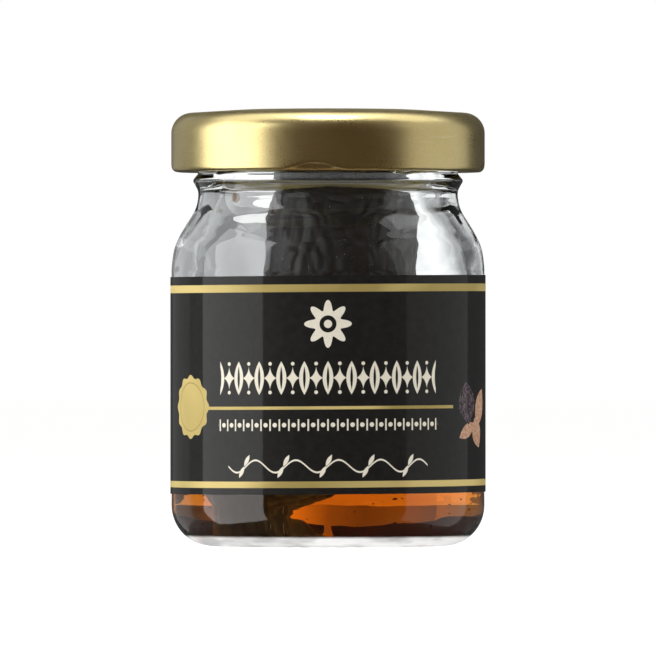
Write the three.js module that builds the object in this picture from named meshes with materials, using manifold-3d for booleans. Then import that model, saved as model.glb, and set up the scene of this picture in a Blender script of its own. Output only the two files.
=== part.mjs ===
// A small screw-top glass jar that holds one whole black truffle in its juice.
// Millimetres, +Z up, the origin on the table under the middle of the jar, the label's front facing -Y.
// Azimuths are degrees from -Y towards +X, which is anticlockwise seen from above.

import * as THREE from 'three';
import { mergeVertices } from 'three/addons/utils/BufferGeometryUtils.js';
import Module from 'manifold-3d';

const wasm = await Module();
wasm.setup();

// ---- driving dimensions ----

const SEGMENTS = 48;

const BODY_RADIUS = 23.2;
const WALL = 2.5;
const BASE_CORNER = 6;
const BEARING_INNER = 14.8;
const BEARING_OUTER = BODY_RADIUS - BASE_CORNER + 0.1;
const SHOULDER_START = 41;
const NECK_RADIUS = 19.25;
const NECK_HEIGHT = 52.4;
const BEAD_RADIUS = 20;
const BEAD_HEIGHT = 54.1;
const FINISH_RADIUS = 19.3;
const MOUTH_RADIUS = 16.6;
const RIM_HEIGHT = 63.3;
const FLOOR_HEIGHT = 1.75;
const FLOOR_DOME = 2.75;
const FLOOR_DOME_RADIUS = 11.5;
const PUSH_UP = 2.5;
const INNER_CORNER = 4.6;

const LEADS = 4;
const LEAD_START = -60;
const LEAD_SWEEP = 80;
const LEAD_FOOT = 55.5;
const LEAD_RADIUS = 21.1;
const LEAD_HALF = 0.6;
const RISE_PER_DEGREE = 0.04;

const LID_RADIUS = 23.25;
const LID_BOTTOM = 55.4;
const LID_TOP = 64.7;
const LID_SHEET = 0.3;
const LID_CORNER = 3.05;
const LID_CORNER_HEIGHT = 61.15;
const CURL_RADIUS = 0.75;
const PANEL_RADIUS = 9.2;
const PANEL_DIP = 0.35;
const LUG_AZIMUTH = -5;
const LUG_HALF_ANGLE = 12;
const LUG_INNER = 20.2;
const LUG_HEIGHT = 55.95;
const LUG_HALF = 0.5;

const SEAL_INNER = 16.9;
const SEAL_OUTER = 19.7;
const SEAL_BOTTOM = RIM_HEIGHT + 0.1;
const SEAL_TOP = 63.85;

const LABEL_BOTTOM = 7.9;
const LABEL_TOP = 40;
const LABEL_INNER = BODY_RADIUS + 0.06;
const LABEL_THICKNESS = 0.12;
const LABEL_GAP = 1.2;

const JUICE_LEVEL = 18;
const GAP = 0.3;

const TRUFFLE_BOTTOM = 5.9;
const TRUFFLE_TOP = 58.5;
const TRUFFLE_HALF_WIDTH = 11.2;
const TRUFFLE_HALF_DEPTH = 10;
const TRUFFLE_FOOT_X = -6.4;
const TRUFFLE_FOOT_Y = 1.4;
const TRUFFLE_LEAN_X = 8.2;
const TRUFFLE_LEAN_Y = 4.6;
const TRUFFLE_DETAIL = 9;

// Each lobe of the truffle: the side it is on, how it grows out from there, and how narrow it is.
// The first is the foot that it stands on.
const TRUFFLE_LOBES = [
  { side: [-0.2, -0.05, -0.98], growth: [0.3, -0.8, -4.7], narrowness: 55 },
  { side: [0.9, -0.2, 0.35], growth: [0.9, 0, 0.1], narrowness: 7 },
  { side: [-0.75, -0.5, 0.3], growth: [-0.6, -0.3, 0], narrowness: 9 },
  { side: [0.3, -0.9, 0.1], growth: [0, -0.7, 0], narrowness: 10 },
  { side: [-0.4, 0.3, 0.85], growth: [-0.6, 0, 0.2], narrowness: 8 },
  { side: [0.5, 0.2, -0.8], growth: [1, 0.2, -0.4], narrowness: 9 },
  { side: [-0.8, 0.5, -0.3], growth: [-0.9, 0.5, 0], narrowness: 8 },
  { side: [-0.1, -0.95, -0.5], growth: [0, -0.7, -0.3], narrowness: 12 },
];

// Bits of rind on the jar's floor: azimuth, distance from the middle, half width and half height.
const CRUMBS = [
  { azimuth: -52, distance: 13.6, half: 1.35, tall: 0.85 },
  { azimuth: -27, distance: 14.2, half: 0.7, tall: 0.5 },
  { azimuth: -12, distance: 13.4, half: 0.5, tall: 0.4 },
  { azimuth: 24, distance: 13.9, half: 0.6, tall: 0.4 },
  { azimuth: 140, distance: 13.7, half: 0.9, tall: 0.6 },
  { azimuth: -150, distance: 13.5, half: 0.7, tall: 0.5 },
];

// ---- shared helpers ----

const radians = THREE.MathUtils.degToRad;

function around(azimuth, radius, height) {
  const angle = radians(azimuth);
  return new THREE.Vector3(radius * Math.sin(angle), -radius * Math.cos(angle), height);
}

// Points of an arc in the half plane of a turned profile, its angles in degrees.
function arc(centreR, centreZ, radius, from, to, steps) {
  const points = [];
  for (let i = 0; i <= steps; i += 1) {
    const angle = radians(from + ((to - from) * i) / steps);
    points.push([centreR + radius * Math.cos(angle), centreZ + radius * Math.sin(angle)]);
  }
  return points;
}

// A soft hump from its edge to the axis.
function dome(radius, base, rise, steps) {
  const points = [];
  for (let i = 0; i <= steps; i += 1) {
    const r = radius * (1 - i / steps);
    points.push([r, base + (rise * (1 + Math.cos((Math.PI * r) / radius))) / 2]);
  }
  return points;
}

// One closed body with its corners merged, its collapsed faces dropped and its faces pointing out.
function closed(geometry) {
  const bare = new THREE.BufferGeometry();
  bare.setAttribute('position', geometry.getAttribute('position').clone());
  bare.setIndex(geometry.getIndex());
  const merged = mergeVertices(bare, 1e-4);
  const place = merged.getAttribute('position');
  const index = merged.getIndex().array;
  const faces = [];
  let volume = 0;
  const [a, b, c] = [new THREE.Vector3(), new THREE.Vector3(), new THREE.Vector3()];
  for (let i = 0; i < index.length; i += 3) {
    const [p, q, r] = [index[i], index[i + 1], index[i + 2]];
    if (p === q || q === r || r === p) continue;
    faces.push([p, q, r]);
    a.fromBufferAttribute(place, p);
    b.fromBufferAttribute(place, q);
    c.fromBufferAttribute(place, r);
    volume += a.dot(b.cross(c));
  }
  const outward = volume > 0 ? faces : faces.map(([p, q, r]) => [p, r, q]);
  merged.setIndex(outward.flat());
  return merged;
}

function turned(profile, segments = SEGMENTS) {
  const points = profile.map(([r, z]) => new THREE.Vector2(r, z));
  return closed(new THREE.LatheGeometry(points, segments).rotateX(Math.PI / 2));
}

// A section of (radius, height) points carried round the axis; place(r, z, t) may change it on the way.
function swept(section, from, sweep, steps, place = (r, z) => [r, z]) {
  const shape = new THREE.Shape(section.map(([r, z]) => new THREE.Vector2(r, z)));
  const bar = new THREE.ExtrudeGeometry(shape, { depth: 1, steps, bevelEnabled: false });
  const corners = bar.getAttribute('position');
  for (let i = 0; i < corners.count; i += 1) {
    const t = corners.getZ(i);
    const [r, z] = place(corners.getX(i), corners.getY(i), t);
    const point = around(from + sweep * t, r, z);
    corners.setXYZ(i, point.x, point.y, point.z);
  }
  return closed(bar);
}

function toSolid(geometry) {
  const vertProperties = new Float32Array(geometry.getAttribute('position').array);
  const triVerts = new Uint32Array(geometry.getIndex().array);
  return new wasm.Manifold(new wasm.Mesh({ numProp: 3, vertProperties, triVerts }));
}

function fromSolid(solid) {
  const { vertProperties, triVerts } = solid.getMesh();
  const geometry = new THREE.BufferGeometry();
  geometry.setAttribute('position', new THREE.BufferAttribute(vertProperties, 3));
  geometry.setIndex(new THREE.BufferAttribute(triVerts, 1));
  return geometry;
}

function join(first, others) {
  return fromSolid(others.reduce((whole, other) => whole.add(toSolid(other)), toSolid(first)));
}

function cut(first, others) {
  return fromSolid(others.reduce((whole, other) => whole.subtract(toSolid(other)), toSolid(first)));
}

// The same body with every corner moved out along its normal.
function swollen(geometry, distance) {
  const copy = geometry.clone();
  copy.computeVertexNormals();
  const place = copy.getAttribute('position');
  const normal = copy.getAttribute('normal');
  for (let i = 0; i < place.count; i += 1) {
    place.setXYZ(
      i,
      place.getX(i) + normal.getX(i) * distance,
      place.getY(i) + normal.getY(i) * distance,
      place.getZ(i) + normal.getZ(i) * distance,
    );
  }
  copy.deleteAttribute('normal');
  return copy;
}

// ---- jar ----

const INNER_RADIUS = BODY_RADIUS - WALL;

const SHOULDER_OUTSIDE = [
  [BODY_RADIUS, SHOULDER_START],
  [23.05, 42.6],
  [22.7, 44.3],
  [21.9, 46.1],
  [20.9, 47.8],
  [19.9, 49.4],
  [19.4, 50.8],
  [NECK_RADIUS, NECK_HEIGHT],
];

const SHOULDER_INSIDE = [
  [MOUTH_RADIUS, 51.5],
  [16.9, 49.8],
  [17.8, 48],
  [19, 46],
  [20.1, 43.8],
  [INNER_RADIUS, 40.5],
];

function jar() {
  const pushUp = dome(BEARING_INNER - 0.6, 0.35, PUSH_UP - 0.35, 5).reverse();
  const profile = [
    ...pushUp,
    [BEARING_INNER, 0],
    [BEARING_OUTER, 0],
    ...arc(BODY_RADIUS - BASE_CORNER, BASE_CORNER, BASE_CORNER, -80, 0, 5),
    ...SHOULDER_OUTSIDE,
    [BEAD_RADIUS - 0.35, BEAD_HEIGHT - 0.7],
    [BEAD_RADIUS, BEAD_HEIGHT],
    [BEAD_RADIUS - 0.35, BEAD_HEIGHT + 0.6],
    [FINISH_RADIUS, BEAD_HEIGHT + 1],
    [FINISH_RADIUS, RIM_HEIGHT - 0.8],
    [FINISH_RADIUS - 0.7, RIM_HEIGHT],
    [MOUTH_RADIUS + 0.8, RIM_HEIGHT],
    [MOUTH_RADIUS, RIM_HEIGHT - 0.9],
    ...SHOULDER_INSIDE,
    ...arc(INNER_RADIUS - INNER_CORNER, FLOOR_HEIGHT + INNER_CORNER, INNER_CORNER, 0, -90, 4),
    ...dome(FLOOR_DOME_RADIUS, FLOOR_HEIGHT, FLOOR_DOME, 5),
  ];
  const leads = [];
  for (let i = 0; i < LEADS; i += 1) {
    leads.push(threadLead(LEAD_START + (i * 360) / LEADS));
  }
  return join(turned(profile), leads);
}

// One raised thread of the finish: it rises anticlockwise and fades into the wall at both ends.
function threadLead(start) {
  const root = FINISH_RADIUS - 0.6;
  const section = [
    [root, -LEAD_HALF],
    [LEAD_RADIUS - 0.5, -LEAD_HALF],
    [LEAD_RADIUS, -LEAD_HALF + 0.4],
    [LEAD_RADIUS, LEAD_HALF - 0.4],
    [LEAD_RADIUS - 0.5, LEAD_HALF],
    [root, LEAD_HALF],
  ];
  return swept(section, start, LEAD_SWEEP, 14, (r, z, t) => {
    const fade = THREE.MathUtils.smoothstep(Math.min(t, 1 - t), 0, 0.14);
    const height = LEAD_FOOT + LEAD_SWEEP * t * RISE_PER_DEGREE;
    return [root + (r - root) * (0.3 + 0.7 * fade), height + z * (0.5 + 0.5 * fade)];
  });
}

// ---- lid ----

function lid() {
  const curlR = LID_RADIUS - CURL_RADIUS;
  const curlZ = LID_BOTTOM + CURL_RADIUS;
  const cornerR = LID_RADIUS - LID_CORNER;
  const cornerZ = LID_CORNER_HEIGHT;
  const inside = LID_CORNER - LID_SHEET;
  const profile = [
    [0, LID_TOP - PANEL_DIP],
    [PANEL_RADIUS, LID_TOP - PANEL_DIP],
    [PANEL_RADIUS + 0.6, LID_TOP],
    [PANEL_RADIUS + 3, LID_TOP],
    ...arc(cornerR, cornerZ, LID_CORNER, 90, 0, 6),
    ...arc(curlR, curlZ, CURL_RADIUS, 0, -270, 9),
    [LID_RADIUS - LID_SHEET, curlZ + CURL_RADIUS + 0.3],
    ...arc(cornerR, cornerZ, inside, 0, 90, 6),
    [PANEL_RADIUS + 3, LID_TOP - LID_SHEET],
    [PANEL_RADIUS + 0.7, LID_TOP - LID_SHEET],
    [PANEL_RADIUS + 0.1, LID_TOP - PANEL_DIP - LID_SHEET],
    [0, LID_TOP - PANEL_DIP - LID_SHEET],
  ];
  const lugs = [];
  for (let i = 0; i < LEADS; i += 1) {
    lugs.push(lug(LUG_AZIMUTH + (i * 360) / LEADS));
  }
  return join(turned(profile), lugs);
}

// A lug is a stretch of the curl that is pressed in to hook under a thread lead.
function lug(azimuth) {
  const root = LID_RADIUS - 2 * CURL_RADIUS + 0.5;
  const section = [
    [LUG_INNER, -LUG_HALF + 0.15],
    [LUG_INNER + 0.4, -LUG_HALF],
    [root, -LUG_HALF],
    [root, LUG_HALF],
    [LUG_INNER + 0.4, LUG_HALF],
    [LUG_INNER, LUG_HALF - 0.15],
  ];
  return swept(section, azimuth - LUG_HALF_ANGLE, 2 * LUG_HALF_ANGLE, 8, (r, z, t) => {
    const fade = THREE.MathUtils.smoothstep(Math.min(t, 1 - t), 0, 0.3);
    return [root + (r - root) * (0.25 + 0.75 * fade), LUG_HEIGHT + z];
  });
}

function sealRing() {
  return turned([
    [SEAL_INNER, SEAL_BOTTOM + 0.1],
    [SEAL_INNER + 0.3, SEAL_BOTTOM],
    [SEAL_OUTER - 0.3, SEAL_BOTTOM],
    [SEAL_OUTER, SEAL_BOTTOM + 0.15],
    [SEAL_OUTER, SEAL_TOP],
    [SEAL_INNER, SEAL_TOP],
    [SEAL_INNER, SEAL_BOTTOM + 0.1],
  ]);
}

// ---- label ----

function label() {
  const outer = LABEL_INNER + LABEL_THICKNESS;
  const section = [
    [LABEL_INNER, LABEL_BOTTOM],
    [outer, LABEL_BOTTOM],
    [outer, LABEL_TOP],
    [LABEL_INNER, LABEL_TOP],
  ];
  return swept(section, -180 + LABEL_GAP / 2, 360 - LABEL_GAP, 80);
}

// ---- truffle, juice and crumbs ----

// A tall lumpy body that leans: its foot is towards -X and its top rests on the back of the neck.
function truffle() {
  const middle = (TRUFFLE_TOP + TRUFFLE_BOTTOM) / 2;
  const halfHeight = (TRUFFLE_TOP - TRUFFLE_BOTTOM) / 2;
  const lobes = TRUFFLE_LOBES.map(({ side, growth, narrowness }) => ({
    side: new THREE.Vector3(...side).normalize(),
    growth: new THREE.Vector3(...growth),
    narrowness,
  }));
  const geometry = closed(new THREE.IcosahedronGeometry(1, TRUFFLE_DETAIL));
  const place = geometry.getAttribute('position');
  const point = new THREE.Vector3();
  const skin = new THREE.Vector3();
  for (let i = 0; i < place.count; i += 1) {
    point.fromBufferAttribute(place, i).normalize();
    const bluntness = point.z > 0 ? 3.8 : 3;
    const width = (1 - Math.abs(point.z) ** bluntness) ** (1 / bluntness);
    const turn = Math.hypot(point.x, point.y) || 1;
    const lean = THREE.MathUtils.smoothstep(point.z, -1, 0.35);
    skin.set(
      TRUFFLE_FOOT_X + TRUFFLE_LEAN_X * lean + (point.x / turn) * width * TRUFFLE_HALF_WIDTH,
      TRUFFLE_FOOT_Y + TRUFFLE_LEAN_Y * lean + (point.y / turn) * width * TRUFFLE_HALF_DEPTH,
      middle + point.z * halfHeight,
    );
    for (const { side, growth, narrowness } of lobes) {
      skin.addScaledVector(growth, Math.exp(narrowness * (point.dot(side) - 1)));
    }
    place.setXYZ(i, skin.x, skin.y, skin.z);
  }
  return geometry;
}

function crumb({ azimuth, distance, half, tall }) {
  const bit = closed(new THREE.IcosahedronGeometry(1, 1));
  bit.scale(half, half * 0.8, tall);
  bit.rotateZ(radians(azimuth * 3));
  const place = around(azimuth, distance, FLOOR_HEIGHT + GAP + tall);
  return bit.translate(place.x, place.y, place.z);
}

function juice(soaked) {
  const radius = INNER_RADIUS - GAP;
  const corner = INNER_CORNER - GAP;
  const bottom = FLOOR_HEIGHT + GAP;
  const profile = [
    [0, JUICE_LEVEL],
    [radius, JUICE_LEVEL],
    ...arc(INNER_RADIUS - INNER_CORNER, bottom + corner, corner, 0, -90, 5),
    ...dome(FLOOR_DOME_RADIUS, bottom, FLOOR_DOME, 5),
  ];
  return cut(turned(profile, 48), soaked.map((piece) => swollen(piece, GAP)));
}

// ---- assembly ----

const clearGlass = new THREE.MeshStandardMaterial({
  color: 0xdfe6e4,
  roughness: 0.03,
  metalness: 0,
  transparent: true,
  opacity: 0.35,
});
const goldLacquer = new THREE.MeshStandardMaterial({ color: 0xb9a25a, roughness: 0.32, metalness: 0.9 });
const sealCompound = new THREE.MeshStandardMaterial({ color: 0xe9e4d6, roughness: 0.6, metalness: 0 });
const blackPaper = new THREE.MeshStandardMaterial({ color: 0x232322, roughness: 0.5, metalness: 0 });
const blackRind = new THREE.MeshStandardMaterial({ color: 0x15161a, roughness: 0.35, metalness: 0 });
const amberJuice = new THREE.MeshStandardMaterial({
  color: 0xb35a0c,
  roughness: 0.05,
  metalness: 0,
  transparent: true,
  opacity: 0.7,
});

const part = new THREE.Group();

function add(name, geometry, material) {
  const mesh = new THREE.Mesh(geometry, material);
  mesh.name = name;
  part.add(mesh);
}

const truffleBody = truffle();
const crumbs = CRUMBS.map(crumb);

add('jar', jar(), clearGlass);
add('lid', lid(), goldLacquer);
add('seal_ring', sealRing(), sealCompound);
add('label', label(), blackPaper);
add('truffle', truffleBody, blackRind);
add('juice', juice([truffleBody, ...crumbs]), amberJuice);
crumbs.forEach((bit, i) => add(`crumb_${i + 1}`, bit, blackRind));

export default part;
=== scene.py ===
# %% [markdown]
# # A jar of preserved truffle
# The object is a small pressed glass jar with a gold twist-off cap and a black wrap label. One black
# truffle stands in amber juice inside it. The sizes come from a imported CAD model, which is loaded first
# and never moved. Every visible piece is then modelled again at a finer grain, in the same place.

# %% Load the frame
import math
import random

import bpy
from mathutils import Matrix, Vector, noise


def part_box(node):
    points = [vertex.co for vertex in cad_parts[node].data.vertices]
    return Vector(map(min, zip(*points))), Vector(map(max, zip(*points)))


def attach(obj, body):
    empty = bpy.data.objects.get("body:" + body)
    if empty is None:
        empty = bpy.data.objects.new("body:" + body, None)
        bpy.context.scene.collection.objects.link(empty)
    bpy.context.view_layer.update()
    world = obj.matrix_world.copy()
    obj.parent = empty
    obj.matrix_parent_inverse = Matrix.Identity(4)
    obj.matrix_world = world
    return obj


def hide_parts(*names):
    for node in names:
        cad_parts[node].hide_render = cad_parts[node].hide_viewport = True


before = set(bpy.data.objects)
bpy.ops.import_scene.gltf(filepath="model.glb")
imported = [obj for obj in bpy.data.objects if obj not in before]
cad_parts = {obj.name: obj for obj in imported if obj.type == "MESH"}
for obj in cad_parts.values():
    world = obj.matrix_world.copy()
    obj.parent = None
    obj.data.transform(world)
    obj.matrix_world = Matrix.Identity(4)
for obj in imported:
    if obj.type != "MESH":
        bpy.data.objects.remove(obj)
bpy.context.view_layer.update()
print("nodes:", ", ".join(sorted(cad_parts)))

# %% [markdown]
# All sizes below are worked out from the CAD boxes, so that the fine pieces land where the plain ones
# are. Blender works in metres and a jar is small, so `MM` turns millimetres into metres.

# %% Take the sizes from the frame
MM = 0.001
jar_low, jar_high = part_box("jar")
lid_low, lid_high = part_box("lid")
seal_low, seal_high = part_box("seal_ring")
label_low, label_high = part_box("label")
juice_low, juice_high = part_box("juice")

BODY_R = jar_high.x
RIM_Z = jar_high.z
NECK_R = BODY_R - 3.95 * MM
FINISH_R = BODY_R - 3.9 * MM
MOUTH_R = BODY_R - 6.6 * MM
INNER_R = BODY_R - 2.5 * MM
BASE_CORNER = 6 * MM
FLOOR_Z = juice_low.z - 0.3 * MM
LID_R = lid_high.x
LID_TOP = lid_high.z
LID_BOTTOM = lid_low.z
LABEL_R = label_high.x
print(f"jar {2e3 * BODY_R:.1f} mm across, {1e3 * LID_TOP:.1f} mm tall with its cap")

# %% [markdown]
# A long lens from two metres away, level with the middle of the jar, keeps the sides upright and the
# cap's edge almost straight, as product photographs do.

# %% Camera
FIELD = 97.3 * MM
CAMERA_AWAY = 2.0
CAMERA_Z = 32.3 * MM

camera_data = bpy.data.cameras.new("camera")
camera_data.sensor_width = 36
camera_data.lens = 36 * CAMERA_AWAY / FIELD
camera_data.clip_end = 20
camera = bpy.data.objects.new("camera", camera_data)
camera.location = (0, -CAMERA_AWAY, CAMERA_Z)
camera.rotation_euler = (math.pi / 2, 0, 0)
bpy.context.scene.collection.objects.link(camera)
bpy.context.scene.camera = camera
print(f"lens {camera_data.lens:.0f} mm")

# %% [markdown]
# Glass, cap and seal are all turned shapes: an outline carried round an axis. The outline is drawn by
# extruding one vertex from point to point, and Spin carries it round. The same outline helpers serve
# all of them: an arc for a round corner, a hump for a pushed-up base, and a smooth line through points.


# %% Helpers for outlines
def arc(centre_r, centre_z, radius, start, end, steps):
    """Points of an arc, its angles in degrees from straight out."""
    turns = [math.radians(start + (end - start) * i / steps) for i in range(steps + 1)]
    return [(centre_r + radius * math.cos(a), centre_z + radius * math.sin(a)) for a in turns]


def hump(radius, base, rise, steps):
    """A soft hump from its edge to the axis."""
    radii = [radius * (1 - i / steps) for i in range(steps + 1)]
    return [(r, base + rise * (1 + math.cos(math.pi * r / radius)) / 2) for r in radii]


def straight(start, end, steps):
    """Evenly spaced points between two ends, without the ends."""
    shares = [i / steps for i in range(1, steps)]
    return [tuple(a + (b - a) * s for a, b in zip(start, end)) for s in shares]


def flowing(points, steps):
    """A smooth line through the points, in `steps` pieces between each pair."""
    line = []
    for i in range(len(points) - 1):
        before = points[max(i - 1, 0)]
        after = points[min(i + 2, len(points) - 1)]
        a, b = points[i], points[i + 1]
        for j in range(steps):
            t = j / steps
            line.append(tuple(
                0.5 * (2 * q + (r - p) * t + (2 * p - 5 * q + 4 * r - s) * t**2
                       + (3 * q - p - 3 * r + s) * t**3)
                for p, q, r, s in zip(before, a, b, after)
            ))
    return line + [points[-1]]


def smooth(share):
    """0 below 0, 1 above 1, and an eased step between."""
    t = min(max(share, 0.0), 1.0)
    return t * t * (3 - 2 * t)


# %% Helpers for meshes
def clear_selection():
    """Operators act on what is selected, so each piece starts with nothing selected."""
    bpy.ops.object.select_all(action="DESELECT")


def edit(piece):
    """Opens one piece in edit mode with everything selected."""
    clear_selection()
    piece.select_set(True)
    bpy.context.view_layer.objects.active = piece
    bpy.ops.object.mode_set(mode="EDIT")
    bpy.ops.mesh.select_all(action="SELECT")


def turned(name, outline, steps):
    """Draws an outline of (radius, height) and spins it into one closed mesh."""
    clear_selection()
    bpy.ops.mesh.primitive_plane_add(size=MM)
    piece = bpy.context.object
    piece.name = name
    edit(piece)
    bpy.ops.mesh.merge(type="CENTER")
    bpy.ops.transform.translate(value=(outline[0][0], 0, outline[0][1]))
    for (r0, z0), (r1, z1) in zip(outline, outline[1:]):
        step = {"value": (r1 - r0, 0, z1 - z0)}
        bpy.ops.mesh.extrude_region_move(TRANSFORM_OT_translate=step)
    bpy.ops.mesh.select_all(action="SELECT")
    bpy.ops.mesh.spin(steps=steps, angle=math.tau, center=(0, 0, 0), axis=(0, 0, 1))
    bpy.ops.mesh.select_all(action="SELECT")
    bpy.ops.mesh.remove_doubles(threshold=0.001 * MM)
    bpy.ops.mesh.normals_make_consistent(inside=False)
    bpy.ops.object.mode_set(mode="OBJECT")
    bpy.ops.object.shade_smooth()
    return piece


def reshape(piece, change):
    """Moves each vertex: change(radius, azimuth in degrees, height) gives its new radius and height."""
    for vertex in piece.data.vertices:
        x, y, z = vertex.co
        radius = math.hypot(x, y)
        if radius < 0.01 * MM:
            continue
        new_radius, new_z = change(radius, math.degrees(math.atan2(x, -y)), z)
        vertex.co = (x * new_radius / radius, y * new_radius / radius, new_z)
    piece.data.update()


def place(azimuth, radius, z):
    """A point at an azimuth from the front, towards the right."""
    angle = math.radians(azimuth)
    return Vector((radius * math.sin(angle), -radius * math.cos(angle), z))


def add_modifier(piece, kind, **settings):
    """Adds one modifier, sets it up and applies it."""
    clear_selection()
    piece.select_set(True)
    bpy.context.view_layer.objects.active = piece
    modifier = piece.modifiers.new(kind.lower(), kind)
    for key, value in settings.items():
        setattr(modifier, key, value)
    bpy.ops.object.modifier_apply(modifier=modifier.name)


def report(piece):
    """Says what was made."""
    size = [round(1e3 * s, 1) for s in piece.dimensions]
    print(f"{piece.name}: {len(piece.data.polygons)} faces, {size} mm")


# %% [markdown]
# The jar is one piece of pressed glass. Its outline goes from the pushed-up base round the bearing
# ring, up the wall and shoulder, over the bead and the rim, and down the inside. The thread leads are
# pushed out of the finish afterwards, so glass and thread stay one skin with no hidden walls. A slow
# ripple on the inside is what a mould leaves, and it is what bends the light into streaks.

# %% Jar: the outline
BEARING_INNER = 14.8 * MM
BEAD_Z = 54.1 * MM
BEAD_R = 20 * MM
FINISH_FOOT = 55.1 * MM
PUSH_UP = 2.5 * MM
DOME_R = 11.5 * MM
DOME_RISE = 2.75 * MM
INNER_CORNER = 4.6 * MM

shoulder_outside = [
    (BODY_R, 41.0 * MM),
    (BODY_R - 0.15 * MM, 42.6 * MM),
    (BODY_R - 0.5 * MM, 44.3 * MM),
    (BODY_R - 1.3 * MM, 46.1 * MM),
    (BODY_R - 2.3 * MM, 47.8 * MM),
    (BODY_R - 3.3 * MM, 49.4 * MM),
    (BODY_R - 3.8 * MM, 50.8 * MM),
    (NECK_R, 52.4 * MM),
    (BEAD_R - 0.35 * MM, BEAD_Z - 0.7 * MM),
    (BEAD_R, BEAD_Z),
    (BEAD_R - 0.35 * MM, BEAD_Z + 0.6 * MM),
    (FINISH_R, FINISH_FOOT),
]
shoulder_inside = [
    (MOUTH_R, 51.5 * MM),
    (MOUTH_R + 0.3 * MM, 49.8 * MM),
    (MOUTH_R + 1.2 * MM, 48.0 * MM),
    (MOUTH_R + 2.4 * MM, 46.0 * MM),
    (MOUTH_R + 3.5 * MM, 43.8 * MM),
    (INNER_R, 40.5 * MM),
]
jar_outline = (
    hump(BEARING_INNER - 0.6 * MM, 0.35 * MM, PUSH_UP - 0.35 * MM, 16)[::-1]
    + [(BEARING_INNER - 0.2 * MM, 0.08 * MM), (BEARING_INNER + 0.2 * MM, 0)]
    + straight((BEARING_INNER, 0), (BODY_R - BASE_CORNER, 0), 5)
    + arc(BODY_R - BASE_CORNER, BASE_CORNER, BASE_CORNER, -88, 0, 18)
    + straight((BODY_R, BASE_CORNER), (BODY_R, 41 * MM), 14)
    + flowing(shoulder_outside, 4)
    + straight((FINISH_R, FINISH_FOOT), (FINISH_R, RIM_Z - 0.8 * MM), 36)
    + arc(FINISH_R - 0.8 * MM, RIM_Z - 0.8 * MM, 0.8 * MM, 0, 90, 5)
    + arc(MOUTH_R + 0.9 * MM, RIM_Z - 0.9 * MM, 0.9 * MM, 90, 180, 5)
    + straight((MOUTH_R, RIM_Z - 0.9 * MM), (MOUTH_R, 51.5 * MM), 14)
    + flowing(shoulder_inside, 5)
    + straight((INNER_R, 40.5 * MM), (INNER_R, FLOOR_Z + INNER_CORNER), 24)
    + arc(INNER_R - INNER_CORNER, FLOOR_Z + INNER_CORNER, INNER_CORNER, 0, -90, 12)
    + hump(DOME_R, FLOOR_Z, DOME_RISE, 16)
)
print(len(jar_outline), "points in the jar's outline")

# %% Jar: spin it, then push out the leads and ripple the inside
LEAD_START = -60
LEAD_SWEEP = 80
LEAD_FOOT = 55.5 * MM
LEAD_RISE = 3.2 * MM
LEAD_HEIGHT = 1.8 * MM
LEAD_HALF = 0.6 * MM
RIPPLE = 0.16 * MM
KNURLS = 40


def lead_height(azimuth, z):
    """How far the thread stands out of the finish at a place."""
    along = ((azimuth - LEAD_START) % 90) / LEAD_SWEEP
    heights = [0.0]
    for t in (along, along + 90 / LEAD_SWEEP):
        if t <= 1:
            fade = smooth(min(t, 1 - t) / 0.14)
            off = abs(z - LEAD_FOOT - LEAD_RISE * t)
            heights.append(LEAD_HEIGHT * fade * smooth((LEAD_HALF + 0.2 * MM - off) / (0.4 * MM)))
    return max(heights)


def mould_ripple(azimuth, z, fineness):
    """A slow unevenness, the same on each run."""
    spot = place(azimuth, 1.0, z * 1e3 * 0.09 * fineness)
    return noise.noise(spot * 1.7 * fineness) + 0.5 * noise.noise(spot * 4.1 * fineness)


def floor_height(radius):
    """The height of the jar's floor at a distance from the axis."""
    if radius > DOME_R:
        return FLOOR_Z
    return FLOOR_Z + DOME_RISE * (1 + math.cos(math.pi * radius / DOME_R)) / 2


def lining(radius, azimuth, z):
    """The skin inside the jar, rippled; the juice follows the same rule."""
    if z < 8 * MM and radius < INNER_R - 0.5 * MM:
        return radius, z + 0.5 * RIPPLE * mould_ripple(azimuth, radius, 2.5)
    return radius + RIPPLE * mould_ripple(azimuth, z, 1.0), z


def jar_surface(radius, azimuth, z):
    if FINISH_FOOT - 0.9 * MM < z < RIM_Z - 1.5 * MM and radius > FINISH_R - 0.1 * MM:
        return max(radius, FINISH_R + lead_height(azimuth, z)), z
    inside = radius < INNER_R + 0.01 * MM and floor_height(radius) - 0.5 * MM < z < RIM_Z - MM
    if inside and not (z > 48 * MM and radius > MOUTH_R + 2 * MM):
        return lining(radius, azimuth, z)
    if z < 0.05 * MM and BEARING_INNER < radius:
        return radius, z + 0.12 * MM * max(0.0, math.sin(math.radians(azimuth * KNURLS)))
    if z < PUSH_UP + 0.1 * MM and radius < BEARING_INNER:
        return radius, z + 0.12 * MM * noise.noise(place(azimuth, radius, 0) * 900)
    return radius + 0.02 * MM * mould_ripple(azimuth, z, 1.6), z


jar = turned("glass_jar", jar_outline, 224)
reshape(jar, jar_surface)
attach(jar, "jar")
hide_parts("jar")
report(jar)

# %% [markdown]
# The cap is drawn from one sheet of tinplate: a panel that the vacuum has pulled down a little, a round
# shoulder, a plain skirt and a rolled curl. At four places the curl is pressed in to make a lug, which
# shows outside as a shallow smile in the bottom of the skirt.

# %% Cap
SHEET = 0.3 * MM
CORNER = 3.05 * MM
CURL = 0.75 * MM
PANEL_R = 9.2 * MM
PANEL_DIP = 0.35 * MM
LUG_AZIMUTH = -5
LUG_HALF_ANGLE = 12
LUG_REACH = 2.0 * MM
DIMPLE = 0.5 * MM
DIMPLE_TALL = 1.5 * MM

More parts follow.
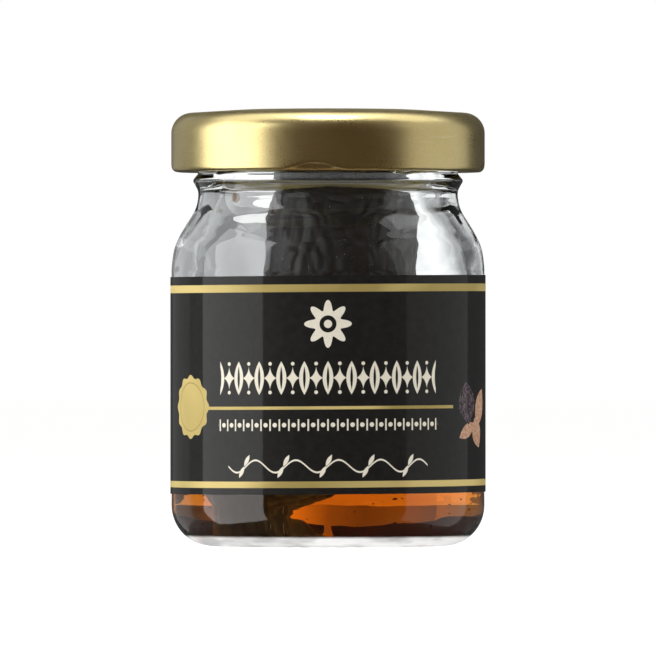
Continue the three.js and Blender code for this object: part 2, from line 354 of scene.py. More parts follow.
corner_z = LID_TOP - 0.5 * MM - CORNER
curl_z = LID_BOTTOM + CURL
lid_outline = (
    [(0, LID_TOP - PANEL_DIP)]
    + straight((0, LID_TOP - PANEL_DIP), (PANEL_R, LID_TOP - PANEL_DIP), 6)
    + flowing([
        (PANEL_R - 0.3 * MM, LID_TOP - PANEL_DIP),
        (PANEL_R + 0.25 * MM, LID_TOP - 0.2 * MM),
        (PANEL_R + 0.9 * MM, LID_TOP - 0.02 * MM),
        (PANEL_R + 1.8 * MM, LID_TOP),
        (PANEL_R + 3 * MM, LID_TOP - 0.02 * MM),
    ], 4)
    + straight((PANEL_R + 3 * MM, LID_TOP), (LID_R - CORNER, corner_z + CORNER), 6)
    + arc(LID_R - CORNER, corner_z, CORNER, 90, 0, 20)
    + straight((LID_R, corner_z), (LID_R, curl_z + MM), 10)
    + straight((LID_R, curl_z + MM), (LID_R, curl_z), 12)
    + arc(LID_R - CURL, curl_z, CURL, 0, -270, 22)
    + [(LID_R - SHEET, curl_z + CURL + 0.3 * MM)]
    + straight((LID_R - SHEET, curl_z + CURL + 0.3 * MM), (LID_R - SHEET, corner_z), 8)
    + arc(LID_R - CORNER, corner_z, CORNER - SHEET, 0, 90, 12)
    + [
        (PANEL_R + 3 * MM, LID_TOP - SHEET),
        (PANEL_R + 0.8 * MM, LID_TOP - SHEET),
        (PANEL_R + 0.1 * MM, LID_TOP - PANEL_DIP - SHEET),
        (0, LID_TOP - PANEL_DIP - SHEET),
    ]
)


def lid_surface(radius, azimuth, z):
    off = ((azimuth - LUG_AZIMUTH + 45) % 90 - 45) / LUG_HALF_ANGLE
    if abs(off) >= 1 or z > LID_BOTTOM + 2.4 * MM:
        return radius, z
    pressed = (1 - off**2) ** 1.5
    if radius > LID_R - CURL:
        edge = LID_BOTTOM + DIMPLE_TALL * (1 - off**2)
        return radius - DIMPLE * smooth((edge - z) / (0.7 * MM)) * smooth(pressed * 3), z
    inward = smooth((LID_R - CURL - radius) / CURL) * (z < curl_z + CURL)
    return radius - LUG_REACH * pressed * inward * 0.8, z


lid = turned("tin_cap", lid_outline, 288)
reshape(lid, lid_surface)
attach(lid, "lid")
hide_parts("lid")
report(lid)

# %% [markdown]
# The sealing compound is poured into the cap as a paste and cured, so its edges are round and its face
# is a little wavy. It sits on the glass rim.

# %% Seal ring
seal_mid = (seal_low.z + seal_high.z) / 2
seal_half = (seal_high.z - seal_low.z) / 2
SEAL_OUTER = seal_high.x
SEAL_INNER = SEAL_OUTER - 2.8 * MM
seal_outline = (
    arc(SEAL_OUTER - seal_half, seal_mid, seal_half, -90, 90, 8)
    + straight((SEAL_OUTER - seal_half, seal_high.z), (SEAL_INNER + seal_half, seal_high.z), 5)
    + arc(SEAL_INNER + seal_half, seal_mid, seal_half, 90, 270, 8)
    + straight((SEAL_INNER + seal_half, seal_low.z), (SEAL_OUTER - seal_half, seal_low.z), 5)
    + [(SEAL_OUTER - seal_half, seal_low.z)]
)
seal = turned("seal_compound_ring", seal_outline, 160)
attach(seal, "seal")
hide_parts("seal_ring")
report(seal)

# %% [markdown]
# The label is one strip of coated paper wrapped right round, with its ends almost meeting at the back.
# A cylinder with no caps is the wrapped strip. One column of faces is taken out for the seam, and
# Solidify gives the paper its thickness. A wrapped label is never quite level, so it rises to the right.

# %% Label
LABEL_TILT = 0.16 * MM
LABEL_COLUMNS = 300
PAPER = 0.12 * MM

clear_selection()
bpy.ops.mesh.primitive_cylinder_add(
    vertices=LABEL_COLUMNS, radius=LABEL_R, depth=label_high.z - label_low.z, end_fill_type="NOTHING",
    location=(0, 0, (label_high.z + label_low.z) / 2), rotation=(0, 0, math.pi / LABEL_COLUMNS),
)
label = bpy.context.object
label.name = "wrap_label"
bpy.ops.object.transform_apply(location=True, rotation=True, scale=True)
edit(label)
bpy.ops.mesh.select_all(action="DESELECT")
bpy.ops.object.mode_set(mode="OBJECT")
for face in label.data.polygons:
    face.select = face.center.y > LABEL_R * 0.9 and abs(face.center.x) < 0.25 * MM
bpy.ops.object.mode_set(mode="EDIT")
bpy.ops.mesh.delete(type="FACE")
bpy.ops.object.mode_set(mode="OBJECT")
add_modifier(label, "SOLIDIFY", thickness=PAPER, offset=-1)
reshape(label, lambda radius, azimuth, z: (
    radius, z + LABEL_TILT * math.sin(math.radians(azimuth)),
))
bpy.ops.object.shade_smooth_by_angle(angle=math.radians(30))
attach(label, "jar")
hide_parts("label")
report(label)

# %% [markdown]
# A truffle's rind is a skin of low warts with many sides. The CAD truffle has the right bulk, so its
# mesh is merged and remeshed evenly, and each vertex is then raised by where it lies in a cell pattern:
# high in the middle of a cell and low along its borders. The bits of rind on the floor are made alike.


# %% Truffle and crumbs
def rind(node, name, grain, wart_size, wart_height):
    """A finer copy of a CAD lump, with warts grown on it."""
    lump = bpy.data.objects.new(name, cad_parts[node].data.copy())
    bpy.context.scene.collection.objects.link(lump)
    edit(lump)
    bpy.ops.mesh.remove_doubles(threshold=0.01 * MM)
    bpy.ops.object.mode_set(mode="OBJECT")
    add_modifier(lump, "REMESH", mode="VOXEL", voxel_size=grain)
    add_modifier(lump, "SMOOTH", factor=0.5, iterations=6)
    normals = [vertex.normal.copy() for vertex in lump.data.vertices]
    for vertex, normal in zip(lump.data.vertices, normals):
        spot = vertex.co / wart_size
        near = noise.voronoi(spot + Vector((0.3, 0.1, 0.7)) * noise.noise(spot * 0.8))[0]
        wart = min((near[1] - near[0]) * 1.5, 1.0)
        fold = noise.noise(vertex.co / (wart_size * 3.2))
        vertex.co += normal * wart_height * (wart - 0.75 + 0.7 * fold)
    lump.data.update()
    for face in lump.data.polygons:
        face.use_smooth = True
    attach(lump, "jar")
    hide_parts(node)
    report(lump)
    return lump


truffle = rind("truffle", "whole_truffle", 0.3 * MM, 2.3 * MM, 0.34 * MM)
crumb_nodes = sorted(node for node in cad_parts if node.startswith("crumb_"))
crumbs = [rind(node, f"rind_{node}", 0.12 * MM, 0.8 * MM, 0.14 * MM) for node in crumb_nodes]

# %% [markdown]
# The juice wets the glass, and light must pass from glass to juice with no air between. The trick is to
# let the juice reach a hair's breadth into the glass: the two surfaces then bend light as one.

# %% Juice
WETTING = 0.05 * MM
MENISCUS = 0.5 * MM

juice_outline = (
    [(0, juice_high.z)]
    + straight((0, juice_high.z), (INNER_R - 1.5 * MM, juice_high.z), 12)
    + flowing([
        (INNER_R - 1.5 * MM, juice_high.z),
        (INNER_R - 0.6 * MM, juice_high.z + 0.3 * MENISCUS),
        (INNER_R + WETTING, juice_high.z + MENISCUS),
    ], 5)
    + straight(
        (INNER_R + WETTING, juice_high.z + MENISCUS), (INNER_R + WETTING, FLOOR_Z + INNER_CORNER), 10,
    )
    + arc(INNER_R - INNER_CORNER, FLOOR_Z + INNER_CORNER, INNER_CORNER + WETTING, 0, -90, 14)
    + hump(DOME_R, FLOOR_Z - WETTING, DOME_RISE, 16)
)


def juice_surface(radius, azimuth, z):
    if radius > INNER_R - 0.5 * MM or z < 8 * MM:
        return lining(radius, azimuth, z)
    return radius, z


juice = turned("amber_juice", juice_outline, 224)
reshape(juice, juice_surface)
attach(juice, "jar")
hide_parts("juice")
report(juice)

# %% [markdown]
# Fine sediment lies on the floor and hangs in the juice. Many small pebbles are added in code, each
# squashed by a seeded random draw, so that every run gives the same grains.

# %% Sediment
FLOOR_GRAINS = 150
LOOSE_GRAINS = 120
draw = random.Random(11)


def grain_at(point, size):
    """Adds one pebble to the open mesh."""
    bpy.ops.mesh.primitive_ico_sphere_add(subdivisions=1, radius=size, location=point)
    squash = [draw.uniform(0.5, 1.3) for _ in range(3)]
    bpy.ops.transform.resize(value=squash, center_override=point)


clear_selection()
bpy.ops.mesh.primitive_ico_sphere_add(
    subdivisions=1, radius=0.2 * MM, location=place(-30, 15 * MM, FLOOR_Z + 0.3 * MM),
)
sediment = bpy.context.object
sediment.name = "sediment"
bpy.ops.object.transform_apply(location=True, rotation=True, scale=True)
edit(sediment)
for i in range(FLOOR_GRAINS):
    reach = 17.5 * MM * math.sqrt(draw.uniform(0.02, 1))
    size = draw.uniform(0.05, 0.17) * MM
    grain_at(place(draw.uniform(-180, 180), reach, floor_height(reach) + size * 0.6), size)
for i in range(LOOSE_GRAINS):
    height = draw.uniform(FLOOR_Z + MM, 9.5 * MM)
    reach = (INNER_R - INNER_CORNER + 0.5 * MM) * draw.uniform(0.86, 1.04)
    grain_at(place(draw.uniform(-180, 180), reach, height), draw.uniform(0.05, 0.16) * MM)
bpy.ops.object.mode_set(mode="OBJECT")
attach(sediment, "jar")
report(sediment)

# %% [markdown]
# One drop of juice has run down inside the neck and dried there.

# %% Drop in the neck
DROP_AZIMUTH = -51
DROP_Z = 51.4 * MM

clear_selection()
bpy.ops.mesh.primitive_uv_sphere_add(segments=32, ring_count=20, radius=0.95 * MM)
drop = bpy.context.object
drop.name = "neck_drop"
edit(drop)
bpy.ops.transform.resize(value=(0.62, 0.45, 1.0))
bpy.ops.transform.rotate(
    value=math.radians(DROP_AZIMUTH), orient_axis="Z", center_override=(0, 0, 0),
)
bpy.ops.transform.translate(value=place(DROP_AZIMUTH, MOUTH_R - 0.2 * MM, DROP_Z))
bpy.ops.object.mode_set(mode="OBJECT")
bpy.ops.object.shade_smooth()
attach(drop, "jar")
report(drop)

# %% [markdown]
# Shader maths reads best as plain sums. `Wire` wraps the output of a node and turns `+`, `-`, `*`, `/`
# and comparisons into Math nodes, and `Recipe.node` makes every other node: its settings are set first,
# then each socket gets a value or a link.


# %% Material helpers
class Wire:
    """A node's output whose operators add Math nodes."""

    def __init__(self, recipe, socket):
        self.recipe = recipe
        self.socket = socket

    def math(self, operation, *others, clamp=False):
        values = dict(enumerate([self, *others]))
        return self.recipe.node("ShaderNodeMath", {"operation": operation, "use_clamp": clamp}, values)

    def __add__(self, other):
        return self.math("ADD", other)

    def __radd__(self, other):
        return self.math("ADD", other)

    def __sub__(self, other):
        return self.math("SUBTRACT", other)

    def __rsub__(self, other):
        return self.recipe.number("SUBTRACT", other, self)

    def __mul__(self, other):
        return self.math("MULTIPLY", other)

    def __rmul__(self, other):
        return self.math("MULTIPLY", other)

    def __truediv__(self, other):
        return self.math("DIVIDE", other)

    def __pow__(self, other):
        return self.math("POWER", other)

    def __abs__(self):
        return self.math("ABSOLUTE")

    def cos(self):
        return self.math("COSINE")

    def sin(self):
        return self.math("SINE")

    def above(self, low, high):
        """0 below low, 1 above high, straight between."""
        return ((self - low) / (high - low)).math("ADD", 0.0, clamp=True)

    def filled(self, edge=0.06):
        """1 where a signed distance in millimetres is negative, with a soft edge."""
        return (self * (-1 / edge)).math("ADD", 0.5, clamp=True)

    def least(self, other):
        return self.math("MINIMUM", other)

    def most(self, other):
        return self.math("MAXIMUM", other)

    def repeat(self, pitch):
        """The same stretch again and again, from -pitch / 2 to pitch / 2."""
        return self.math("WRAP", pitch / 2, -pitch / 2)


class Recipe:
    """One material and the nodes it is cooked from."""

    def __init__(self, name):
        self.material = bpy.data.materials.new(name)
        self.material.use_nodes = True
        self.tree = self.material.node_tree
        self.tree.nodes.clear()
        self.end = self.tree.nodes.new("ShaderNodeOutputMaterial")

    def node(self, kind, settings=None, sockets=None, output=0):
        """Makes one node of any kind and returns one of its outputs."""
        made = self.tree.nodes.new(kind)
        for key, value in (settings or {}).items():
            if key == "stops":
                self.set_stops(made, value)
            else:
                setattr(made, key, value)
        for key, value in (sockets or {}).items():
            if isinstance(value, Wire):
                self.tree.links.new(value.socket, made.inputs[key])
            else:
                made.inputs[key].default_value = value
        return Wire(self, made.outputs[output])

    def set_stops(self, ramp, stops):
        elements = ramp.color_ramp.elements
        while len(elements) < len(stops):
            elements.new(1)
        for element, (position, colour) in zip(elements, stops):
            element.position = position
            element.color = colour

    def number(self, operation, first, second):
        return self.node("ShaderNodeMath", {"operation": operation}, {0: first, 1: second})

    def object_point(self):
        """The point on the piece in metres."""
        return self.node("ShaderNodeTexCoord", output="Object")

    def xyz(self, vector):
        return [self.node("ShaderNodeSeparateXYZ", sockets={0: vector}, output=i) for i in range(3)]

    def noise(self, scale, detail=3.0, roughness=0.5, vector=None):
        sockets = {"Scale": scale, "Detail": detail, "Roughness": roughness}
        sockets["Vector"] = vector or self.object_point()
        return self.node("ShaderNodeTexNoise", {}, sockets)

    def mapped(self, scale=(1, 1, 1), rotation=(0, 0, 0)):
        sockets = {"Vector": self.object_point(), "Scale": scale, "Rotation": rotation}
        return self.node("ShaderNodeMapping", {}, sockets)

    def mix(self, share, first, second):
        """A colour between two."""
        sockets = {0: share, 6: first, 7: second}
        return self.node("ShaderNodeMix", {"data_type": "RGBA"}, sockets, output=2)

    def bump(self, height, strength, distance, normal=None):
        sockets = {"Height": height, "Strength": strength, "Distance": distance}
        if normal:
            sockets["Normal"] = normal
        return self.node("ShaderNodeBump", {}, sockets)

    def surface(self, **sockets):
        """The Principled shader, its sockets named with spaces as underscores."""
        named = {key.replace("_", " "): value for key, value in sockets.items()}
        shader = self.node("ShaderNodeBsdfPrincipled", {}, named)
        self.tree.links.new(shader.socket, self.end.inputs["Surface"])
        return shader

    def blend(self, share, first, second):
        """One shader where share is 0, the other where it is 1."""
        both = self.node("ShaderNodeMixShader", {}, {0: share, 1: first, 2: second})
        self.tree.links.new(both.socket, self.end.inputs["Surface"])
        return both

    def tint(self, colour, density):
        """Colours the light by how far it travels inside."""
        volume = self.node("ShaderNodeVolumeAbsorption", {}, {"Color": colour, "Density": density})
        self.tree.links.new(volume.socket, self.end.inputs["Volume"])


def paint(recipe, *pieces):
    """Gives a finished material to pieces."""
    for piece in pieces:
        piece.data.materials.clear()
        piece.data.materials.append(recipe.material)
    print(recipe.material.name, "on", ", ".join(piece.name for piece in pieces))


# %% [markdown]
# Clear glass needs almost nothing: it is the shape and the studio that show in it. A very faint green
# grey builds up along its edges, where the light travels a long way inside. Three skins are mixed by
# place: dry glass, the wetted skin under the juice, which must not shine because liquid touches it, and
# the stippled heel that the jar stands on. The push-up under the base is rough all over.

# %% Clear glass
glass = Recipe("clear_flint_glass")
glass_waves = glass.noise(240, 2.0)
gx, gy, gz = glass.xyz(glass.object_point())
out, up = (gx * gx + gy * gy) ** 0.5 / MM, gz / MM
dome = (out.least(DOME_R / MM) * (math.pi * MM / DOME_R)).cos() * 0.5 + 0.5
floor_skin = up - FLOOR_Z / MM - dome * (DOME_RISE / MM)
under_base = out.above(17.6, 17.2) * floor_skin.above(-0.5, -0.6)
heel_streaks = glass.noise(160, 2.0, vector=glass.mapped((1, 1, 4)))
heel = up.above(1.7, 1.3) * out.above(14.0, 14.6) * (heel_streaks.above(0.35, 0.6) * 0.4 + 0.6)
wall_mm, floor_mm, level_mm = INNER_R / MM, FLOOR_Z / MM, juice_high.z / MM
below_level = up.above(level_mm + 0.4, level_mm + 0.3)
wet_wall = out.above(wall_mm + 1.2, wall_mm + 1.1) * below_level
wet_corner = wet_wall * up.above(floor_mm - 0.4, floor_mm - 0.3)
wet = wet_corner * floor_skin.above(-0.5, -0.4)
glass_normal = glass.bump(glass_waves, 0.15, 0.1 * MM)
dry = glass.surface(
    Base_Color=(0.97, 0.98, 0.98, 1),
    Roughness=under_base * 0.95,
    IOR=1.5,
    Transmission_Weight=1.0,
    Normal=glass_normal,
)
wetted = glass.surface(
    Base_Color=(1, 1, 1, 1),
    Roughness=0.0,
    IOR=1.5,
    Specular_Tint=(0, 0, 0, 1),
    Transmission_Weight=1.0,
    Normal=glass_normal,
)
stippled = glass.surface(Base_Color=(0.99, 0.99, 0.98, 1), Roughness=0.4, IOR=1.5)
glass.blend(heel * 0.9, glass.blend(wet, dry, wetted), stippled)
glass.tint((0.8, 0.9, 0.88, 1), 22)
paint(glass, jar)

# %% [markdown]
# The juice is coloured through its depth: blue is gone in a few millimetres, green in a few more, and
# red passes. That makes thin places gold and thick places brown red with one constant colour.

# %% Amber juice
liquor = Recipe("truffle_juice")
liquor.surface(
    Base_Color=(1, 1, 1, 1),
    Roughness=0.0,
    IOR=1.37,
    Specular_Tint=(0, 0, 0, 1),
    Transmission_Weight=1.0,
)
liquor.tint((0.9, 0.62, 0.0, 1), 150)
paint(liquor, juice)

drop_look = Recipe("dried_drop")
drop_cloud = drop_look.noise(900, 3.0).above(0.35, 0.7)
drop_look.surface(
    Base_Color=drop_look.mix(drop_cloud, (0.45, 0.2, 0.04, 1), (0.2, 0.08, 0.02, 1)),
    Roughness=0.12,
    Coat_Weight=0.6,
)
paint(drop_look, drop)

# %% [markdown]
# The cap is tinplate under a gold lacquer. The metal is rolled, so it carries very fine lines, and the
# lacquer has tiny specks and a few light rubs from handling. They touch only colour, roughness and
# bump, while the studio's softboxes give the broad light and dark.

# %% Gold lacquer
gold = Recipe("gold_lacquered_tin")
flakes = gold.noise(5200, 2.0)
clouds = gold.noise(190, 4.0)
rolled = gold.noise(900, 2.0, vector=gold.mapped((0.25, 0.25, 3.0), (0.5, 0.35, 0.6)))
rubs = gold.noise(700, 2.0, vector=gold.mapped((0.12, 0.12, 4.0), (0.9, 0.2, 0.3))).above(0.66, 0.74)
pits = gold.noise(1500, 2.0).above(0.74, 0.78)
gold_tone = gold.mix(clouds.above(0.3, 0.7), (0.66, 0.545, 0.25, 1), (0.72, 0.61, 0.3, 1))
gold_tone = gold.mix(flakes.above(0.35, 0.7) * 0.3, gold_tone, (0.5, 0.39, 0.16, 1))
gold_tone = gold.mix((rubs * 0.35).most(pits * 0.6), gold_tone, (0.9, 0.84, 0.62, 1))
gold.surface(
    Base_Color=gold_tone,
    Metallic=1.0,
    Roughness=0.25 + flakes.above(0.3, 0.75) * 0.1 + clouds.above(0.3, 0.7) * 0.04,
    Normal=gold.bump(flakes + rolled * 1.5 + rubs * 0.6, 0.22, 0.02 * MM),
)
paint(gold, lid)

# %% [markdown]
# Sealing compound is a soft plastic the colour of cream, dull, with a faint orange-peel skin.

# %% Sealing compound
compound = Recipe("cream_compound")
peel = compound.noise(1600, 3.0)
compound.surface(
    Base_Color=compound.mix(peel.above(0.3, 0.7), (0.78, 0.73, 0.6, 1), (0.86, 0.82, 0.71, 1)),
    Roughness=0.45 + peel * 0.2,
    Normal=compound.bump(peel, 0.3, 0.05 * MM),
)
paint(compound, seal)

# %% [markdown]
# Preserved truffle is nearly black with a cold cast. It is wet, so a thin bright coat lies over a dull
# rind, and tiny pale specks are scattered over it at random.

# %% Black rind
skin = Recipe("wet_black_rind")
mottle = skin.noise(420, 5.0, 0.6)
grit = skin.noise(2600, 4.0, 0.65)
specks = skin.noise(3100, 2.0, 0.5).above(0.715, 0.74)
rind_tone = skin.mix(mottle.above(0.35, 0.68), (0.002, 0.0023, 0.004, 1), (0.01, 0.0115, 0.017, 1))
rind_tone = skin.mix(grit.above(0.55, 0.8) * 0.5, rind_tone, (0.034, 0.033, 0.036, 1))
rind_tone = skin.mix(specks * 0.75, rind_tone, (0.36, 0.35, 0.33, 1))
skin.surface(
    Base_Color=rind_tone,
    Roughness=0.38 + grit * 0.3,
    Coat_Weight=mottle.above(0.3, 0.6) * 0.2,
    Coat_Roughness=0.18,
    Normal=skin.bump(grit + mottle, 0.55, 0.12 * MM),
)
paint(skin, truffle, *crumbs)

silt = Recipe("brown_silt")
silt_cloud = silt.noise(600, 2.0).above(0.4, 0.6)
silt_tone = silt.mix(silt_cloud, (0.012, 0.008, 0.006, 1), (0.07, 0.035, 0.012, 1))
silt.surface(Base_Color=silt_tone, Roughness=0.6, Normal=silt.bump(silt.noise(6000), 0.3, 0.05 * MM))
paint(silt, sediment)

# %% [markdown]
# The label's print is drawn in the material on a flat map of the strip: `u` runs round the jar from the
# front and `v` runs up, both in millimetres. Each mark is a signed distance, so its edge stays sharp at
# any zoom. The ornaments are plain fleurons, beads and leaves, and there is no lettering at all.

# %% Label: the map of the strip
paper = Recipe("printed_black_paper")
px, py, pz = paper.xyz(paper.object_point())
turn = px.math("ARCTAN2", py * -1)
u = turn * (LABEL_R / MM)
v = pz / MM - turn.sin() * (LABEL_TILT / MM)


def box_distance(across, up, half_width, half_height):
    return (abs(across) - half_width).most(abs(up) - half_height)


def circle_distance(across, up, radius):
    return (across * across + up * up) ** 0.5 - radius


def star_distance(across, up, half_width, half_height):
    """A star with four hollow sides."""
    reach = (abs(across) / half_width) ** 0.62 + (abs(up) / half_height) ** 0.62
    return (reach - 1) * (0.5 * min(half_width, half_height))


def leaf_distance(across, up, angle, length, width):
    """A pointed leaf that grows from the given point, its angle in degrees from straight right."""
    c, s = math.cos(math.radians(angle)), math.sin(math.radians(angle))
    along = (across * c + up * s) - length / 2
    aside = up * c - across * s
    return (abs(aside) - (1 - (along / (length / 2)) ** 2) * width / 2) * 0.8


def at_azimuth(degrees):
    """Millimetres round the label from its front."""
    return math.radians(degrees) * LABEL_R / MM


# %% Label: the gold
BAND_TOP = (38.17, 0.56)
BAND_BOTTOM = (9.35, 0.47)
RULE_Z = 20.6
RULE_HALF = 0.23
BADGE = (at_azimuth(-60), 20.8)
SPRIG = (at_azimuth(68), 19.3)

bands = abs(v - BAND_TOP[0]) - BAND_TOP[1]
bands = bands.least(abs(v - BAND_BOTTOM[0]) - BAND_BOTTOM[1])
rule_middle = (at_azimuth(-50) + at_azimuth(52)) / 2
rule_half_length = (at_azimuth(52) - at_azimuth(-50)) / 2
rule = box_distance(u - rule_middle, v - RULE_Z, rule_half_length, RULE_HALF)
badge_u, badge_v = u - BADGE[0], v - BADGE[1]
badge_angle = badge_v.math("ARCTAN2", badge_u)
badge = circle_distance(badge_u, badge_v, 4.5) - (badge_angle * 12).cos() * 0.22
badge_ring = abs(circle_distance(badge_u, badge_v, 3.55)) - 0.1
foil = bands.least(rule).least(badge).filled()
# The pressed ring in the badge: sunk by the bump, and darkened as painted shade in its recess.
pressed_ring_and_shade = badge_ring.filled() * badge.filled()

# %% Label: the cream ornaments
EMBLEM_Z = 32.9
TITLE_Z = 25.0
TITLE_TALL = 2.45
TITLE_HALF = 17.4
TITLE_PITCH = 3.48
FINE_Z = 18.1
FINE_HALF = 17.8
FINE_PITCH = 1.45
VINE_Z = 12.05
VINE_HALF = 15.8
VINE_PITCH = 3.16

emblem_v = v - EMBLEM_Z
emblem_angle = emblem_v.math("ARCTAN2", u)
petals = circle_distance(u, emblem_v, 2.75) - (emblem_angle * 8).cos() * 0.75
eye = circle_distance(u, emblem_v, 1.25)
heart = circle_distance(u, emblem_v, 0.6)
emblem = petals.most(eye * -1).least(heart)

title_v = v - TITLE_Z
title_u = u.repeat(TITLE_PITCH)
between_u = (u + TITLE_PITCH / 2).repeat(TITLE_PITCH)
fleuron = abs(title_u) - (1 - (title_v / TITLE_TALL) ** 2) * 0.78
slit = abs(title_u) - (1 - (title_v / (TITLE_TALL * 0.7)) ** 2) * 0.2
star = star_distance(between_u, title_v, 1.1, 1.7)
beads = circle_distance(between_u, abs(title_v) - 2.1, 0.27)
title = fleuron.most(slit * -1).least(star).least(beads).most(abs(u) - TITLE_HALF)

fine_u = u.repeat(FINE_PITCH)
fine = box_distance(fine_u, v - FINE_Z, 0.12, 0.85)
fine = fine.least(circle_distance((u + FINE_PITCH / 2).repeat(FINE_PITCH), v - FINE_Z, 0.34))
fine = fine.most(abs(u) - FINE_HALF)

vine_v = v - VINE_Z
wave = (u * (math.tau / (2 * VINE_PITCH))).sin() * 0.9
stem = abs(vine_v - wave) - 0.13
leaf_u = u.repeat(VINE_PITCH * 2)
leaves = leaf_distance(leaf_u + VINE_PITCH * 0.1, vine_v, 62, 1.9, 0.62)
leaves = leaves.least(leaf_distance(leaf_u + VINE_PITCH * 0.1, vine_v, -118, 1.9, 0.62))
vine = stem.least(leaves).most(abs(u) - VINE_HALF)
ink = emblem.least(title).least(fine).least(vine).filled()

# %% Label: the leaf sprig
sprig_u, sprig_v = u - SPRIG[0], v - SPRIG[1]
dark_leaf = leaf_distance(sprig_u + 2.2, sprig_v + 1.4, 98, 6.4, 5.0)
tan_leaf = leaf_distance(sprig_u - 0.6, sprig_v + 1.6, 62, 6.2, 3.6)
low_leaf = leaf_distance(sprig_u + 0.2, sprig_v + 0.4, -66, 4.8, 3.4)
side_leaf = leaf_distance(sprig_u + 0.2, sprig_v + 1.2, 204, 5.2, 2.0)
tan_mask = tan_leaf.least(low_leaf).least(side_leaf).filled()
dark_mask = dark_leaf.filled()
print("label print is laid out on", round(math.tau * LABEL_R / MM, 1), "mm of strip")

# %% Label: the paper
CREAM = (0.84, 0.8, 0.68, 1)
# The two foil golds below are a lit and a shaded copy of one foil, used for painted sheen and painted
# shade.
LIT_FOIL = (0.7, 0.56, 0.22, 1)
SHADED_FOIL = (0.4, 0.31, 0.1, 1)
laid = paper.noise(900, 4.0, 0.6)
dust = paper.noise(2600, 2.0)
print_grain = paper.noise(2200, 3.0, 0.6)
tone = paper.mix(laid.above(0.3, 0.7), (0.008, 0.008, 0.0077, 1), (0.014, 0.014, 0.0133, 1))
tone = paper.mix(ink, tone, paper.mix(dust.above(0.3, 0.7), CREAM, (0.78, 0.73, 0.6, 1)))
tan = paper.mix(print_grain.above(0.42, 0.62), (0.42, 0.22, 0.13, 1), (0.62, 0.4, 0.27, 1))
mauve = paper.mix(print_grain.above(0.42, 0.62), (0.022, 0.016, 0.02, 1), (0.13, 0.095, 0.11, 1))
tone = paper.mix(tan_mask, tone, tan)
tone = paper.mix(dark_mask, tone, mauve)
strip_back = ((px * px + py * py) ** 0.5 / MM - (LABEL_R - PAPER / 2) / MM).filled(0.03)
# The foil swings between its lit and its shaded gold in broad patches: a painted sheen.
painted_foil_sheen = paper.noise(75, 1.0).above(0.38, 0.62)
# Inside the pressed ring the shaded gold is used: painted shade.
foil_lit_and_shaded = paper.mix(pressed_ring_and_shade, paper.mix(painted_foil_sheen, SHADED_FOIL, LIT_FOIL), SHADED_FOIL)
tone = paper.mix(foil, tone, foil_lit_and_shaded)
tone = paper.mix(strip_back, tone, (0.8, 0.78, 0.72, 1))
foil = foil * (1 - strip_back)
relief = laid * 0.5 + foil * 0.9 - pressed_ring_and_shade * 0.6
paper.surface(
    Base_Color=tone,
    Metallic=foil * 0.2,
    Roughness=0.55 + laid * 0.1,
    Specular_IOR_Level=0.15,
    Coat_Weight=0.3 - foil * 0.2,
    Coat_Roughness=0.06,
    Normal=paper.bump(relief, 0.35, 0.03 * MM),
)
paint(paper, label)

# %% [markdown]
# The studio is a pale floor that runs out of sight, a tall softbox on each side, the left one far the
# stronger, a wide weak one and a small bright one overhead, and a faint one behind on the left for the
# rim. What stands behind the camera is dark, so that metal shows contrast. What is seen through the
# glass is a backdrop with darker and lighter stretches, which give the glass its edges and streaks.

# %% Studio
BEHIND_CAMERA = (0.085, 0.06, 0.045, 1)
BEHIND_JAR = (0.07, 0.07, 0.072, 1)
BACKDROP = [
    (0.2, (0.1, 0.1, 0.105, 1)),
    (0.36, (0.4, 0.4, 0.41, 1)),
    (0.44, (0.3, 0.3, 0.31, 1)),
    (0.5, (0.5, 0.5, 0.51, 1)),
    (0.56, (1.4, 1.4, 1.4, 1)),
    (0.66, (0.4, 0.4, 0.41, 1)),
    (0.8, (0.12, 0.12, 0.125, 1)),
]


class Sky(Recipe):
    """The light that comes from all round, cooked in the same way."""

    def __init__(self, name):
        self.world = bpy.data.worlds.new(name)
        self.world.use_nodes = True
        self.tree = self.world.node_tree
        self.tree.nodes.clear()
        self.end = self.tree.nodes.new("ShaderNodeOutputWorld")


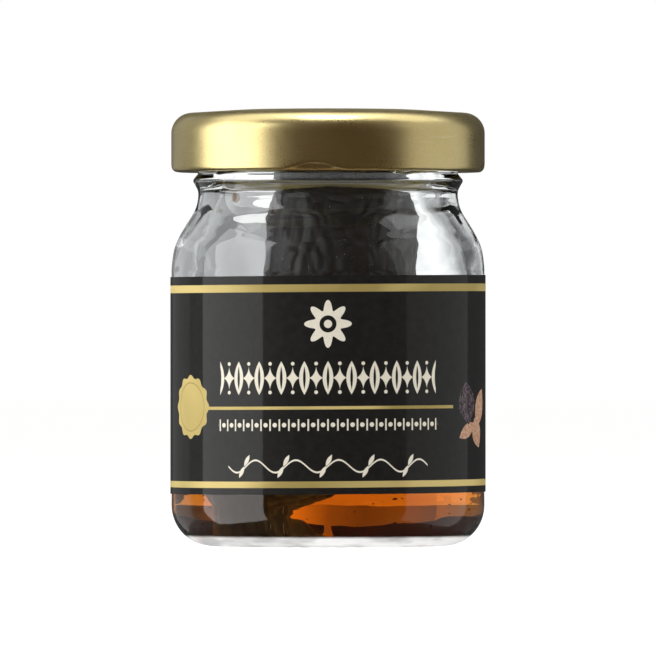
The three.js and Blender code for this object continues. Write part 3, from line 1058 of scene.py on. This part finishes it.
def softbox(name, azimuth, elevation, away, width, height, brightness):
    """An area light that faces the jar; brightness is what a mirror would show."""
    light = bpy.data.lights.new(name, "AREA")
    light.shape = "RECTANGLE"
    light.size = width
    light.size_y = height
    light.energy = brightness * math.pi * width * height
    lamp = bpy.data.objects.new(name, light)
    lift = math.radians(elevation)
    middle = Vector((0, 0, 30 * MM))
    lamp.location = middle + place(azimuth, away * math.cos(lift), away * math.sin(lift))
    lamp.rotation_euler = (middle - lamp.location).to_track_quat("-Z", "Y").to_euler()
    lamp.visible_camera = False
    bpy.context.scene.collection.objects.link(lamp)
    return lamp


softbox("left_softbox", -75, 4, 0.45, 0.47, 0.8, 2.6)
softbox("right_softbox", 90, 4, 0.45, 0.56, 0.8, 0.62)
softbox("top_softbox", 180, 80, 0.5, 1.0, 0.4, 1.5)
softbox("top_spot", 0, 84, 0.5, 0.17, 0.18, 9.0)
softbox("rim_softbox", -138, 6, 0.45, 0.3, 0.5, 0.3)

clear_selection()
bpy.ops.mesh.primitive_plane_add(size=8, location=(0, 0, 0))
floor = bpy.context.object
floor.name = "floor"
floor_look = Recipe("pale_floor")
floor_look.surface(
    Base_Color=(0.3, 0.3, 0.3, 1),
    Roughness=0.8,
    Emission_Color=(1, 1, 1, 1),
    Emission_Strength=0.97,
)
paint(floor_look, floor)
floor.visible_glossy = False

sky = Sky("studio")
towards_x, towards_y, _ = sky.xyz(sky.node("ShaderNodeTexCoord", output="Generated"))
behind = towards_y.above(-0.16, 0.24)
room = sky.mix(behind, BEHIND_CAMERA, BEHIND_JAR)
wall = sky.node("ShaderNodeValToRGB", {"stops": BACKDROP}, {"Fac": towards_x * 0.5 + 0.5})
through = sky.node("ShaderNodeLightPath", output="Is Transmission Ray")
straight_on = sky.node("ShaderNodeLightPath", output="Is Camera Ray")
room = sky.mix(through * behind, room, wall)
room = sky.mix(straight_on, room, (1, 1, 1, 1))
glow = sky.node("ShaderNodeBackground", {}, {"Color": room})
sky.tree.links.new(glow.socket, sky.end.inputs["Surface"])
bpy.context.scene.world = sky.world
bpy.context.scene.view_settings.view_transform = "Standard"
print("studio set")
